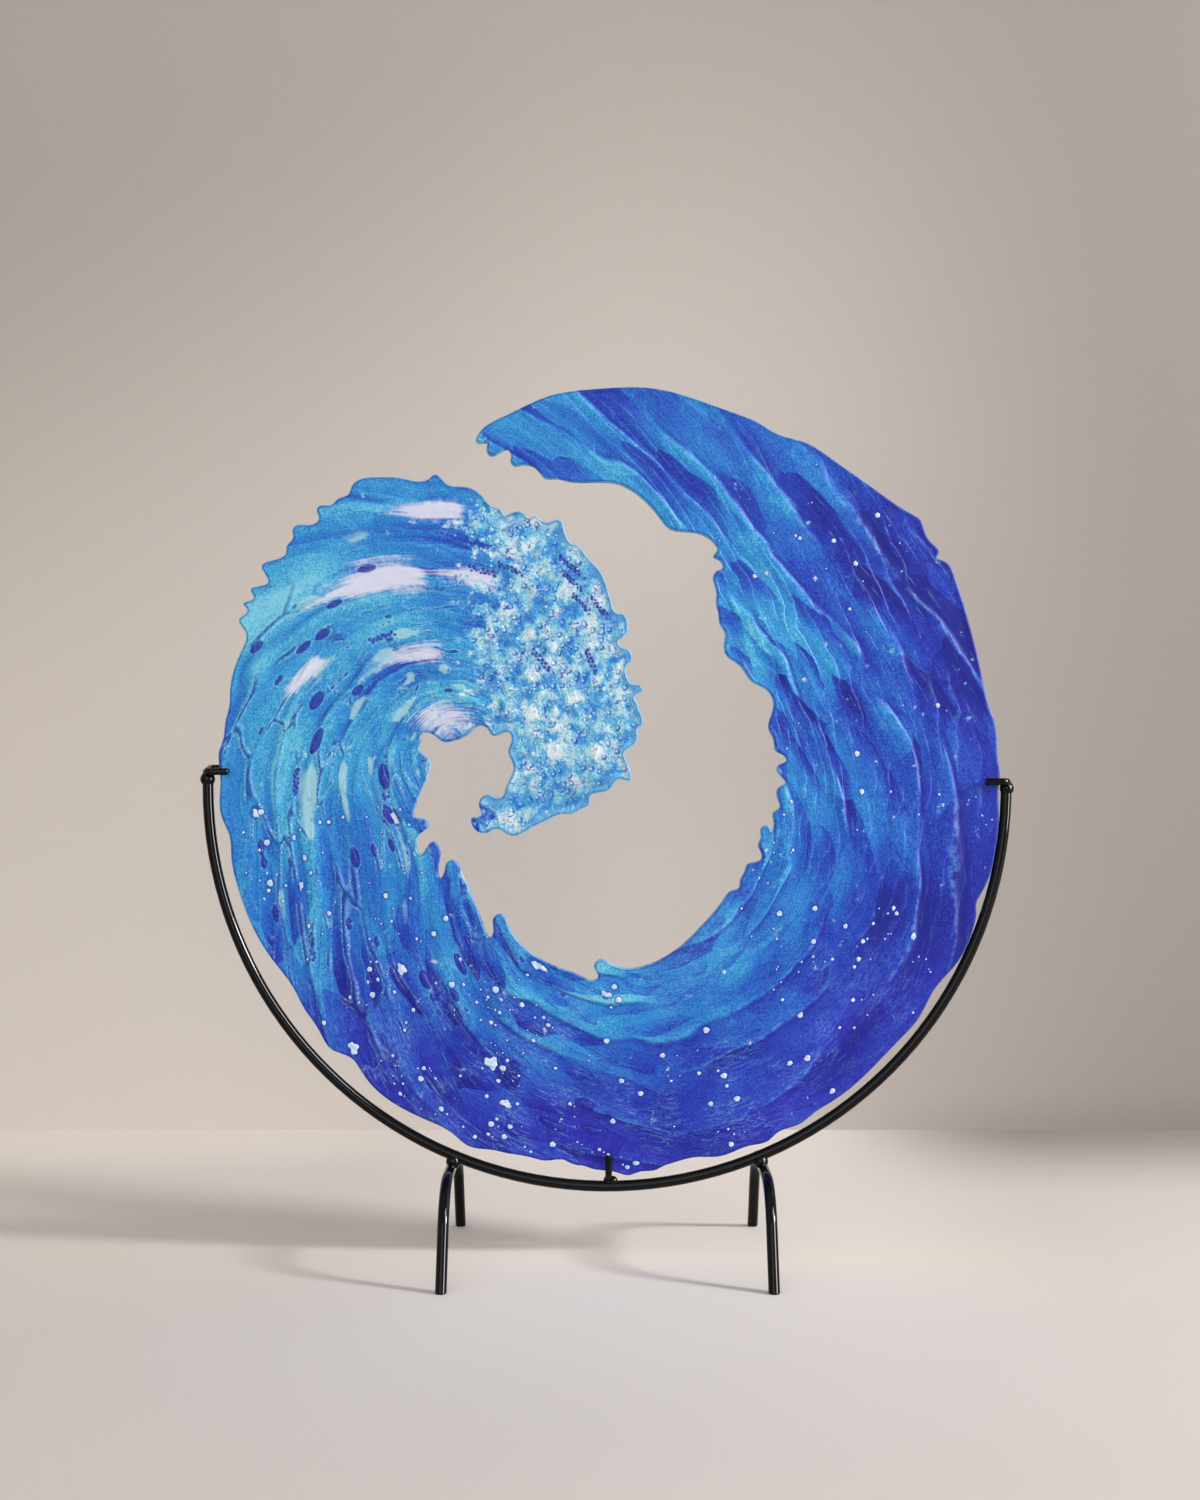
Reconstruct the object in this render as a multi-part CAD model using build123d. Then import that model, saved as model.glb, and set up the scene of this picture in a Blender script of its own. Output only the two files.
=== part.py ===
from build123d import *
import math
import os

# Glass wave sculpture: a breaking wave cut from one plate of fused glass, standing upright in a
# cradle of black steel bar. Millimetres, +Z up, front towards -Y. The origin lies on the floor,
# under the middle of the cradle.

# Glass plate
wave_radius = 228.0
plate_thickness = 6.0
plate_side_offset = 0.9
outline_runs = 40

# Hoop under the glass
hoop_bar_diameter = 6.35
hoop_clearance = 0.85
left_hoop_rise = 10.0
right_hoop_rise = 3.2

# Leg arches
leg_bar_diameter = 6.35
leg_spacing = 181.0
leg_depth = 147.0
leg_apex_height = 52.7
leg_bend_radius = 35.0
leg_splay_angle = 25.0
foot_edge_round = 0.6

# Forks that hold the edge of the glass
fork_bar_diameter = 4.0
fork_bend_radius = 2.8
finger_clearance = 0.3
finger_reach = 13.0
left_fork_roll_angle = 10.5
left_tip_round = 1.8
right_tip_round = 0.5
bottom_tip_round = 0.5
seat_weld_height = 0.7

# Weld beads
leg_weld_gap = 0.2
leg_bead_radius = 4.4
side_bead_reach = 1.3
left_bead_radius = 4.3
left_bead_drop = 5.4
right_bead_radius = 4.1
right_bead_drop = 4.0
seat_bead_radius = 3.0
seat_drip_radius = 2.6
seat_drip_side = 2.6
seat_drip_front = 1.0

# Outline of the wave, as shares of the wave radius across and up from the middle of the plate.
# It runs clockwise, seen from the front, from the tip of the arm over the wave.
arm_top_shares = [
    (-0.339, 0.868), (-0.331, 0.884), (-0.257, 0.932), (-0.150, 0.980), (-0.030, 0.997), (0.100, 1.000),
    (0.333, 0.931), (0.376, 0.914), (0.430, 0.882), (0.500, 0.861), (0.567, 0.820), (0.698, 0.727),
    (0.737, 0.699), (0.780, 0.674), (0.794, 0.664), (0.801, 0.648), (0.824, 0.604), (0.841, 0.578),
]
right_side_shares = [
    (0.836, 0.567), (0.851, 0.560), (0.879, 0.525), (0.952, 0.260), (0.970, 0.185), (0.982, 0.153),
    (0.992, 0.051), (0.997, 0.010), (0.993, -0.019), (0.994, -0.070), (0.984, -0.188), (0.953, -0.282),
    (0.936, -0.317), (0.937, -0.339), (0.933, -0.363), (0.884, -0.470), (0.831, -0.531), (0.790, -0.606),
    (0.744, -0.658), (0.573, -0.816), (0.523, -0.848), (0.486, -0.876),
]
bottom_shares = [
    (0.430, -0.898), (0.406, -0.919), (0.362, -0.930), (0.283, -0.958), (0.221, -0.960), (0.159, -0.976),
    (0.139, -0.983), (0.119, -0.993), (0.080, -0.997), (0.051, -1.006), (0.018, -0.998), (-0.044, -0.989),
    (-0.064, -0.982), (-0.087, -0.979), (-0.114, -0.967), (-0.160, -0.969), (-0.200, -0.960),
    (-0.268, -0.948), (-0.288, -0.943), (-0.356, -0.932), (-0.400, -0.898), (-0.458, -0.868),
    (-0.627, -0.746), (-0.655, -0.708), (-0.705, -0.686),
]
left_side_shares = [
    (-0.740, -0.633), (-0.777, -0.579), (-0.800, -0.534), (-0.864, -0.447), (-0.949, -0.259),
    (-0.961, -0.200), (-0.967, -0.137), (-0.986, -0.094), (-0.989, 0.010), (-0.991, 0.079), (-0.983, 0.100),
    (-0.977, 0.145), (-0.966, 0.192), (-0.965, 0.220), (-0.934, 0.333), (-0.925, 0.377), (-0.941, 0.411),
    (-0.920, 0.433), (-0.931, 0.449), (-0.904, 0.464), (-0.912, 0.484), (-0.868, 0.503), (-0.884, 0.544),
    (-0.822, 0.579), (-0.820, 0.596), (-0.804, 0.618), (-0.805, 0.639), (-0.796, 0.649), (-0.751, 0.653),
    (-0.738, 0.667), (-0.744, 0.687), (-0.738, 0.698),
]
crest_shares = [
    (-0.704, 0.703), (-0.692, 0.715), (-0.662, 0.730), (-0.656, 0.746), (-0.575, 0.773), (-0.528, 0.770),
    (-0.457, 0.769), (-0.443, 0.779), (-0.413, 0.756), (-0.369, 0.748), (-0.319, 0.722), (-0.298, 0.699),
    (-0.270, 0.686), (-0.266, 0.675), (-0.248, 0.681), (-0.211, 0.675), (-0.204, 0.667), (-0.191, 0.673),
    (-0.162, 0.657), (-0.128, 0.664), (-0.116, 0.654), (-0.114, 0.641), (-0.107, 0.621), (-0.094, 0.603),
    (-0.075, 0.598), (-0.067, 0.587), (-0.016, 0.525), (0.003, 0.468), (0.010, 0.444), (0.019, 0.427),
]
foam_side_shares = [
    (0.036, 0.424), (0.050, 0.392), (0.047, 0.374), (0.025, 0.352), (0.034, 0.339), (0.048, 0.334),
    (0.059, 0.308), (0.047, 0.293), (0.048, 0.261), (0.058, 0.246), (0.083, 0.241), (0.087, 0.230),
    (0.072, 0.219), (0.067, 0.206), (0.075, 0.194), (0.077, 0.182), (0.087, 0.160), (0.084, 0.140),
    (0.073, 0.129), (0.074, 0.113), (0.067, 0.092), (0.043, 0.075), (0.058, 0.014), (0.056, -0.001),
    (0.027, 0.003), (0.007, -0.019), (-0.022, -0.031), (-0.047, -0.042), (-0.048, -0.060), (-0.066, -0.072),
    (-0.100, -0.087), (-0.125, -0.087), (-0.145, -0.096), (-0.200, -0.123), (-0.248, -0.142),
    (-0.289, -0.124), (-0.302, -0.131),
]
curl_shares = [
    (-0.340, -0.126), (-0.347, -0.095), (-0.325, -0.091), (-0.331, -0.060), (-0.306, -0.036),
    (-0.282, -0.045), (-0.271, -0.042), (-0.263, -0.022), (-0.243, 0.038), (-0.256, 0.075), (-0.247, 0.107),
    (-0.254, 0.121), (-0.295, 0.113), (-0.311, 0.133), (-0.325, 0.139), (-0.354, 0.119), (-0.400, 0.099),
    (-0.418, 0.097), (-0.459, 0.121), (-0.476, 0.118), (-0.479, 0.100), (-0.482, 0.077), (-0.455, 0.050),
    (-0.456, 0.022), (-0.496, -0.076), (-0.497, -0.092), (-0.468, -0.099),
]
finger_shares = [
    (-0.457, -0.112), (-0.484, -0.142), (-0.479, -0.189), (-0.447, -0.156), (-0.429, -0.180),
    (-0.434, -0.225), (-0.428, -0.249), (-0.420, -0.238), (-0.411, -0.208), (-0.400, -0.202),
    (-0.375, -0.231), (-0.319, -0.370), (-0.300, -0.400), (-0.294, -0.388), (-0.294, -0.352),
    (-0.281, -0.340), (-0.268, -0.343), (-0.258, -0.363), (-0.201, -0.437), (-0.136, -0.474),
    (-0.068, -0.500), (-0.036, -0.509), (-0.027, -0.503), (-0.038, -0.472), (-0.016, -0.456),
    (0.000, -0.464), (0.189, -0.418), (0.240, -0.367), (0.292, -0.305),
]
inner_edge_shares = [
    (0.315, -0.281), (0.331, -0.276), (0.335, -0.256), (0.347, -0.232), (0.353, -0.215), (0.388, -0.202),
    (0.390, -0.189), (0.381, -0.165), (0.388, -0.145), (0.387, -0.125), (0.408, -0.116), (0.415, -0.134),
    (0.421, -0.118), (0.421, -0.080), (0.436, -0.070), (0.432, -0.052), (0.436, -0.016), (0.451, -0.008),
    (0.428, 0.026), (0.434, 0.039), (0.453, 0.050), (0.446, 0.063), (0.424, 0.076), (0.421, 0.102),
    (0.408, 0.130), (0.420, 0.187), (0.400, 0.232), (0.366, 0.250), (0.332, 0.294), (0.302, 0.316),
    (0.294, 0.350), (0.296, 0.375), (0.283, 0.398), (0.280, 0.425), (0.273, 0.455), (0.275, 0.475),
    (0.266, 0.518), (0.273, 0.531), (0.290, 0.541), (0.283, 0.559), (0.266, 0.570), (0.277, 0.587),
    (0.273, 0.598), (0.220, 0.630),
]
arm_underside_shares = [
    (0.152, 0.642), (0.130, 0.668), (0.064, 0.734), (0.030, 0.752), (-0.105, 0.762), (-0.136, 0.768),
    (-0.160, 0.768), (-0.184, 0.793), (-0.224, 0.802), (-0.239, 0.800), (-0.250, 0.810), (-0.249, 0.826),
    (-0.255, 0.841), (-0.300, 0.826), (-0.311, 0.838), (-0.310, 0.859), (-0.331, 0.858),
]
seat_height_share = -0.997

# Places that follow from the sizes above
hoop_radius = wave_radius + hoop_clearance + hoop_bar_diameter / 2
weld_reach = hoop_radius + (hoop_bar_diameter + leg_bar_diameter) / 2 + leg_weld_gap
hoop_height = leg_apex_height + math.sqrt(weld_reach**2 - (leg_spacing / 2) ** 2)
hoop_seat_height = hoop_height - hoop_radius + hoop_bar_diameter / 2
left_fork_height = hoop_height + left_hoop_rise
left_fork_side = -math.sqrt(hoop_radius**2 - left_hoop_rise**2)
right_fork_height = hoop_height + right_hoop_rise
right_fork_side = math.sqrt(hoop_radius**2 - right_hoop_rise**2)
bottom_fork_height = hoop_seat_height + seat_weld_height + fork_bar_diameter / 2
plate_height = bottom_fork_height + fork_bend_radius - seat_height_share * wave_radius


def bar(path, diameter):
    """Round bar of the given diameter along a path in one plane."""
    section = Plane(origin=path @ 0, z_dir=path % 0) * Circle(diameter / 2)
    return sweep(section, path=path)


def ball(side, front, height, radius):
    """Drop of weld metal around the point this far to the right, to the front and above the floor."""
    return Pos(side, -front, height) * Sphere(radius)


def glass_wave():
    """The plate: its outline is one smooth closed curve through the points above, cut into short runs."""
    outline_shares = arm_top_shares + right_side_shares + bottom_shares + left_side_shares + crest_shares
    outline_shares = outline_shares + foam_side_shares + curl_shares + finger_shares
    outline_shares = outline_shares + inner_edge_shares + arm_underside_shares
    points = []
    for across_share, up_share in outline_shares:
        across = plate_side_offset + across_share * wave_radius
        up = plate_height + up_share * wave_radius
        points.append((across, up))
    curve = Plane.XZ * Spline(*points, periodic=True)
    runs = [curve.trim(i / outline_runs, (i + 1) / outline_runs) for i in range(outline_runs)]
    return extrude(make_face(runs), amount=plate_thickness / 2, both=True)


def cradle_hoop(forks):
    """Open ring of bar under the glass, with its ends shaped to the webs of the side forks."""
    start_angle = math.degrees(math.atan2(left_hoop_rise, left_fork_side))
    end_angle = math.degrees(math.atan2(right_hoop_rise, right_fork_side)) + math.degrees(math.tau)
    arc = CenterArc((0, hoop_height), hoop_radius, start_angle, end_angle - start_angle)
    hoop = bar(Plane.XZ * arc, hoop_bar_diameter)
    for fork in forks:
        hoop = hoop - fork
    return hoop


def leg_arch(side):
    """Arch of bar from front to back: a level top, two bends and two splayed legs with level-cut feet."""
    splay = math.tan(math.radians(leg_splay_angle))
    shoulder = leg_depth / 2 - leg_apex_height * splay
    overrun = leg_bar_diameter
    end = leg_depth / 2 + overrun * splay
    corners = [(-end, -overrun), (-shoulder, leg_apex_height), (shoulder, leg_apex_height), (end, -overrun)]
    path = Plane.YZ.offset(side * leg_spacing / 2) * FilletPolyline(*corners, radius=leg_bend_radius)
    arch = split(bar(path, leg_bar_diameter), bisect_by=Plane.XY, keep=Keep.TOP)
    return fillet(arch.edges().group_by(Axis.Z)[0], foot_edge_round)


def fork(tip_round, roll_angle=0):
    """U of thin bar: its web lies on the origin, its two fingers point along +X, either side of the glass."""
    gap = plate_thickness + 2 * finger_clearance
    half_spacing = (gap + fork_bar_diameter) / 2 / math.cos(math.radians(roll_angle))
    front_corners = [(finger_reach, -half_spacing), (0, -half_spacing)]
    rear_corners = [(0, half_spacing), (finger_reach, half_spacing)]
    path = FilletPolyline(*front_corners, *rear_corners, radius=fork_bend_radius)
    shape = bar(path, fork_bar_diameter)
    return Rot(roll_angle, 0, 0) * fillet(shape.edges().group_by(Axis.X)[-1], tip_round)


def leg_weld(side, hoop, arch):
    """Bead between the hoop and a leg arch, centred where the two bars almost touch."""
    share_to_arch = (hoop_radius + hoop_bar_diameter / 2 + leg_weld_gap / 2) / weld_reach
    across = side * leg_spacing / 2 * share_to_arch
    up = hoop_height - (hoop_height - leg_apex_height) * share_to_arch
    return ball(across, 0, up, leg_bead_radius) - hoop - arch


def side_weld(side, fork_height, radius, drop, hoop, side_fork):
    """Bead around an end of the hoop, just under the web of its fork."""
    across = side * (hoop_radius + hoop_bar_diameter / 2 + side_bead_reach - radius)
    return ball(across, 0, fork_height - drop, radius) - hoop - side_fork


def seat_weld(hoop, seat_fork):
    """Bead between the bottom of the hoop and the web of its fork, with a second drop beside it."""
    height = hoop_seat_height + seat_weld_height / 2
    bead = ball(plate_side_offset, 0, height, seat_bead_radius)
    drip = ball(plate_side_offset + seat_drip_side, seat_drip_front, height, seat_drip_radius)
    return bead + drip - hoop - seat_fork


left_fork = Pos(left_fork_side, 0, left_fork_height) * fork(left_tip_round, left_fork_roll_angle)
right_fork = Pos(right_fork_side, 0, right_fork_height) * Rot(0, 0, 180) * fork(right_tip_round)
bottom_fork = Pos(plate_side_offset, 0, bottom_fork_height) * Rot(0, -90, 0) * fork(bottom_tip_round)
hoop = cradle_hoop([left_fork, right_fork])
left_arch = leg_arch(-1)
right_arch = leg_arch(1)

nodes = {
    "glass_wave_panel": glass_wave(),
    "cradle_hoop": hoop,
    "left_leg_arch": left_arch,
    "right_leg_arch": right_arch,
    "left_fork": left_fork,
    "right_fork": right_fork,
    "bottom_fork": bottom_fork,
    "left_fork_weld": side_weld(-1, left_fork_height, left_bead_radius, left_bead_drop, hoop, left_fork),
    "right_fork_weld": side_weld(1, right_fork_height, right_bead_radius, right_bead_drop, hoop, right_fork),
    "bottom_fork_weld": seat_weld(hoop, bottom_fork),
    "left_leg_weld": leg_weld(-1, hoop, left_arch),
    "right_leg_weld": leg_weld(1, hoop, right_arch),
}

os.makedirs("parts", exist_ok=True)
for name, shape in nodes.items():
    export_step(shape, f"parts/{name}.step")
    print(name, "solids", len(shape.solids()), "volume", round(shape.volume))
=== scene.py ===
"""Looks of the glass wave sculpture: a fused glass wave standing in a cradle of black coated bar."""
import math

import bpy
import numpy as np
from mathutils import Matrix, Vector
from mathutils.geometry import delaunay_2d_cdt


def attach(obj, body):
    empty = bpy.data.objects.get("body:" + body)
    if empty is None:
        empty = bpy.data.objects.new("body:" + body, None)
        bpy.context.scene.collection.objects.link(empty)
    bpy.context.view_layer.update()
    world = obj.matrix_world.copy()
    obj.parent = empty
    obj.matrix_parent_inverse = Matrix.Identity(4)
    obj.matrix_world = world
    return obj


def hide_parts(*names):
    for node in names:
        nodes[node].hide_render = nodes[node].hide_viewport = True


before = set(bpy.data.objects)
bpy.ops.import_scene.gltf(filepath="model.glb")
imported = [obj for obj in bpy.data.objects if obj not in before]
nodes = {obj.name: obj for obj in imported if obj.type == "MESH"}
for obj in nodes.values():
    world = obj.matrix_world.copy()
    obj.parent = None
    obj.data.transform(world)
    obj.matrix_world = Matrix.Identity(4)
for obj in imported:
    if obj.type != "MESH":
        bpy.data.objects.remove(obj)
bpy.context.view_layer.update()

mm = 0.001

# The wave's own frame: shares of its radius from the middle of its ring, x to the right and z up
wave_radius = 0.228
wave_middle = np.array([0.0009, 0.27741])
plate_half = 0.003

# Mesh of the glass
outline_step = 1.0 * mm
ring_offsets = [0.3 * mm, 0.9 * mm, 1.9 * mm]
front_pitch = 1.7 * mm
foam_pitch = 1.15 * mm
back_pitch = 5.0 * mm
edge_round = 1.6 * mm
edge_fade = 3.0 * mm
relief_depth = 1.3 * mm
highest_relief = 1.15
back_unevenness = 0.25 * mm

# Heart of the curl and the disc that the breaking head fills, in shares of the radius
curl_heart = np.array([-0.352, 0.089])
head_middle = np.array([-0.454, 0.204])
head_radius = 0.592

# Sweep of the ring and of the head: their scales, and the degrees gone on round the ring
ring_scale = 0.75
head_scale = 0.45
start_angle = 110.0
least_turn = 120
head_joins = 275
head_blend = (252, 300)
head_before = 200

# Drift of the strokes inwards: degrees gone on, and the tangent of the strokes' angle to the sweep
stroke_slopes = [
    (0, 1.0), (20, 0.9), (35, 0.65), (50, 0.38), (70, 0.05), (90, -0.16), (110, -0.32), (135, -0.20),
    (165, 0.0), (190, 0.08), (225, 0.42), (240, 0.50), (260, 0.42), (290, 0.40), (330, 0.30), (380, 0.05),
    (480, 0.0),
]

# Zones of the ring in degrees gone on: where each starts, is full, is full for the last time, and ends
right_zone = (45, 85, 150, 200)
low_zone = (125, 170, 228, 268)
calm_zone = (85, 120, 192, 218)
lower_left_zone = (190, 212, 228, 254)

# White sweeps of the head: middle in shares of the radius, half length and half width in metres
sweep_marks = [
    (-0.62, 0.50, 0.036, 0.0095), (-0.36, 0.52, 0.024, 0.0075), (-0.50, 0.32, 0.032, 0.0105),
    (-0.78, 0.26, 0.018, 0.0050), (-0.47, 0.69, 0.020, 0.0050),
]
sweep_fade = (-1.5, 0.2, 0.55, 1.15)

# Distance in mm that stands for no drop near
no_drop = 50.0

# Camera, as the photograph was taken
camera_place = (-0.0041, -1.100, 0.295)
camera_lens = 45.4

# Room and lamps: place, aim, size across and power of each lamp
wall_depth = 0.369
key_lamp = ((2.10, -0.56, 1.15), (0, 0, 0.1), 0.36, 45)
strip_lamp = ((1.9, -1.0, 1.0), (0, 0, 0.25), 0.7, 150)
strip_length = 2.4
fill_lamp = ((-0.4, -2.6, 1.0), (0, 0, 0.25), 2.2, 17)
room_tint = (1.0, 0.99, 0.98, 1)
room_strength = 0.57


def linear(code):
    """Linear RGBA of a #RRGGBB colour."""
    values = [int(code[i:i + 2], 16) / 255 for i in (1, 3, 5)]
    made = [v / 12.92 if v <= 0.04045 else ((v + 0.055) / 1.055) ** 2.4 for v in values]
    return (*made, 1.0)


def smooth(value, low, high):
    """Smooth step from 0 at low to 1 at high."""
    share = np.clip((value - low) / (high - low), 0, 1)
    return share * share * (3 - 2 * share)


def within(value, zone):
    """1 inside a zone of four values and 0 outside, with a smooth step over each end."""
    return smooth(value, zone[0], zone[1]) * smooth(value, zone[3], zone[2])


# Plain noises, worked out on whole arrays

lattice_size = 256


def lattice(seed):
    """A table of seeded random numbers that the noises look up by whole-number place."""
    return np.random.default_rng(seed).random((lattice_size, lattice_size, 3))


def looked_up(table, i, j):
    """The table's numbers for each whole-number place."""
    return table[i % lattice_size, j % lattice_size]


def soft_noise(a, b, table):
    """Value noise, from 0 to 1: the numbers at the corners of a square, blended by smooth steps."""
    i = np.floor(a).astype(int)
    j = np.floor(b).astype(int)
    s = smooth(a - i, 0, 1)
    t = smooth(b - j, 0, 1)
    near, far = (looked_up(table, i, k)[..., 0] * (1 - s) + looked_up(table, i + 1, k)[..., 0] * s
                 for k in (j, j + 1))
    return near * (1 - t) + far * t


def cloud(a, b, table, octaves=2):
    """Sum of value noises, each half as strong and twice as fine. From about 0 to 1."""
    total = 0.0
    weight = 0.0
    for k in range(octaves):
        total = total + soft_noise(a * 2 ** k + 17.3 * k, b * 2 ** k + 5.9 * k, table) / 2 ** k
        weight += 1 / 2 ** k
    return total / weight


def cells(a, b, table, sizes=(1.0, 1.0)):
    """Cell noise: each whole-number square holds one jittered seed, and a point belongs to the nearest.

    Gives the random number of the point's cell, and the distance to the cell's border in the unit of sizes,
    which are the lengths of one cell along a and b.
    """
    jitter = 0.85
    i = np.floor(a).astype(int)
    j = np.floor(b).astype(int)
    ways = []
    for p, q in np.ndindex(5, 5):
        seed = looked_up(table, i + p - 2, j + q - 2)
        ways.append([a - (i + p - 1.5 + jitter * (seed[:, 0] - 0.5)),
                     b - (j + q - 1.5 + jitter * (seed[:, 1] - 0.5)), seed[:, 2]])
    da, db, number = np.array(ways).transpose(1, 0, 2)
    own = (da * da + db * db).argmin(axis=0), np.arange(len(a))
    gap_a = da[own] - da
    gap_b = db[own] - db
    slope = np.maximum(np.hypot(gap_a / sizes[0], gap_b / sizes[1]), 1e-9)
    away = -((da[own] + da) * gap_a + (db[own] + db) * gap_b) / 2 / slope
    away[own] = np.inf
    return number[own], away.min(axis=0)


# The plate's outline and the points inside it

def corner_vertices(mesh):
    """The number of the vertex at each corner of the mesh's faces."""
    corner = np.empty(len(mesh.loops), dtype=int)
    mesh.loops.foreach_get("vertex_index", corner)
    return corner


def front_outline(node):
    """Loop of points round the plate's front face, in even steps, with the glass on its left.

    It follows the front triangles' edges that no other front triangle shares.
    """
    mesh = node.data
    place = np.empty(len(mesh.vertices) * 3)
    mesh.vertices.foreach_get("co", place)
    place, merged = np.unique(np.round(place.reshape(-1, 3), 6), axis=0, return_inverse=True)
    triangles = merged.reshape(-1)[corner_vertices(mesh)].reshape(-1, 3)
    triangles = triangles[np.all(place[triangles][:, :, 1] < -plate_half + 1e-5, axis=1)]
    start = triangles.reshape(-1)
    end = np.roll(triangles, -1, axis=1).reshape(-1)
    alone = ~np.isin(start * len(place) + end, end * len(place) + start)
    after = dict(zip(start[alone], end[alone]))
    order = [start[alone][0]]
    while len(order) < len(after):
        order.append(after[order[-1]])
    closed = place[order + order[:1]][:, [0, 2]]
    along = np.concatenate([[0], np.cumsum(np.linalg.norm(np.diff(closed, axis=0), axis=1))])
    steps = int(along[-1] / outline_step)
    wanted = np.arange(steps) * along[-1] / steps
    even = np.stack([np.interp(wanted, along, closed[:, k]) for k in (0, 1)], axis=1)
    turn = np.sum(even[:, 0] * np.roll(even[:, 1], -1) - np.roll(even[:, 0], -1) * even[:, 1])
    return even if turn > 0 else even[::-1]


def outline_reach(points, loop):
    """Distance of each point to the loop's runs, and whether it is inside, by counting crossings upwards."""
    run = np.roll(loop, -1, axis=0) - loop
    length2 = np.sum(run * run, axis=1)
    reach = np.empty(len(points))
    inside = np.empty(len(points), dtype=bool)
    at_once = 3000
    for first in range(0, len(points), at_once):
        part = slice(first, first + at_once)
        dx = points[part, 0, None] - loop[:, 0]
        dz = points[part, 1, None] - loop[:, 1]
        share = np.clip((dx * run[:, 0] + dz * run[:, 1]) / length2, 0, 1)
        reach[part] = np.hypot(dx - share * run[:, 0], dz - share * run[:, 1]).min(axis=1)
        crosses = (dz >= 0) != (dz - run[:, 1] >= 0)
        meets = dx < run[:, 0] * dz / np.where(run[:, 1] == 0, 1e-12, run[:, 1])
        inside[part] = np.sum(crosses & meets, axis=1) % 2 == 1
    return reach, inside


def staggered_grid(pitch):
    """Points of a grid whose odd rows are moved on by half a step, a little past the whole wave."""
    reach = wave_radius * 1.03
    rows = np.arange(-reach, reach, pitch * math.sqrt(3) / 2)
    columns = np.arange(-reach, reach, pitch)
    x, z = np.meshgrid(columns, rows)
    x = x + pitch / 2 * (np.arange(len(rows)) % 2)[:, None]
    return np.stack([x.ravel(), z.ravel()], axis=1) + wave_middle


# Where a point is in the wave: how far on along its sweep, and how far across it

def shares(points):
    """The points in shares of the radius from the middle of the ring."""
    return (points - wave_middle) / wave_radius


def spots(points, scale, seed, shift=0.0, octaves=2):
    """Soft noise over the whole wave, with the given number of cells to the radius."""
    u, v = shares(points).T
    return cloud(u * scale + shift, v * scale, lattice(seed), octaves)


def in_head(u, v):
    """Whether a place is inside the disc of the breaking head."""
    return np.hypot(u - head_middle[0], v - head_middle[1]) < head_radius


def sweep_share(points):
    """0 in the ring and 1 in the breaking head, blended up the left side. Also the degrees gone on."""
    u, v = shares(points).T
    on = (start_angle - np.degrees(np.arctan2(v, u))) % 360
    return np.where(in_head(u, v) & (on < head_before), 1.0, smooth(on, *head_blend)), on


def flow(points):
    """Metres along and across the wave's sweep: angle and log of radius, about the ring and about the curl.

    The two are blended up the left side. Across has a drift added that carries the strokes inwards: its
    slope is the tangent of the strokes' angle to the sweep.
    """
    share, on = sweep_share(points)
    u, v = shares(points).T
    ring_along = ring_scale * np.radians(on)
    ring_across = ring_scale * np.log(np.maximum(np.hypot(u, v), 0.1) / ring_scale)
    du = u - curl_heart[0]
    dv = v - curl_heart[1]
    turn = (start_angle - np.degrees(np.arctan2(dv, du)) - least_turn) % 360 + least_turn
    head_along = head_scale * np.radians(turn - head_joins) + ring_scale * math.radians(head_joins)
    head_across = head_scale * np.log(np.maximum(np.hypot(du, dv), 0.06) / head_scale)
    along = (1 - share) * ring_along + share * head_along
    across = (1 - share) * ring_across + share * head_across
    angles, slopes = np.array(stroke_slopes).T
    stations = np.radians(angles) * ring_scale
    gained = np.concatenate([[0], np.cumsum(np.diff(stations) * (slopes[1:] + slopes[:-1]) / 2)])
    drift = np.interp(along, stations, gained)
    return along * wave_radius, (across + drift) * wave_radius


def foam_share(points):
    """1 in the foam at the right of the head, 0 outside, with an uneven border."""
    u, v = shares(points).T
    along, across = flow(points)
    border = 0.22 * (spots(points, 8, 11, 40, octaves=3) - 0.5)
    border = border + 0.20 * (cloud(along / 0.034, across / 0.009, lattice(17)) - 0.5)
    right = smooth(u - 0.10 * (v - 0.45) + border, -0.46, -0.18)
    high = smooth(0.68 - v + 0.5 * border, -0.06, 0.05)
    return right * high * in_head(u, v) * (v > -0.165)


def flow_direction(points):
    """Unit direction of the sweep at each point: square to the slope of the measure across it."""
    step = 0.2 * mm
    right = flow(points + [step, 0])[1] - flow(points - [step, 0])[1]
    up = flow(points + [0, step])[1] - flow(points - [0, step])[1]
    ahead = np.stack([up, -right], axis=1)
    return ahead / np.maximum(np.linalg.norm(ahead, axis=1), 1e-12)[:, None]


# Relief and tone of the fused glass

def white_sweeps(along, across):
    """Strength of the white sweeps: each fades as a bell across the wave, and narrows to a long thin tail."""
    marks = np.array(sweep_marks)
    middle_along, middle_across = flow(marks[:, :2] * wave_radius + wave_middle)
    total = np.zeros(along.shape)
    for a, c, long, wide in zip(middle_along, middle_across, marks[:, 2], marks[:, 3]):
        on = (along - a) / long
        body = within(on, sweep_fade)
        narrow = wide * (0.30 + 0.70 * smooth(on, -1.5, 0.6))
        total = np.maximum(total, body * np.exp(-((across - c) / narrow) ** 2))
    return total


def risen(count, lift_off):
    """How far a stroke has risen: with the turn of the count, and down again from lift_off to its end."""
    turn = count % 1
    return turn * smooth(turn, 1.0, lift_off)


def edge_drop(reach):
    """How far a face falls back near its edge, by a quarter circle."""
    away = np.clip(edge_round - reach, 0, edge_round)
    return edge_round - np.sqrt(edge_round ** 2 - away ** 2)


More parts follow.
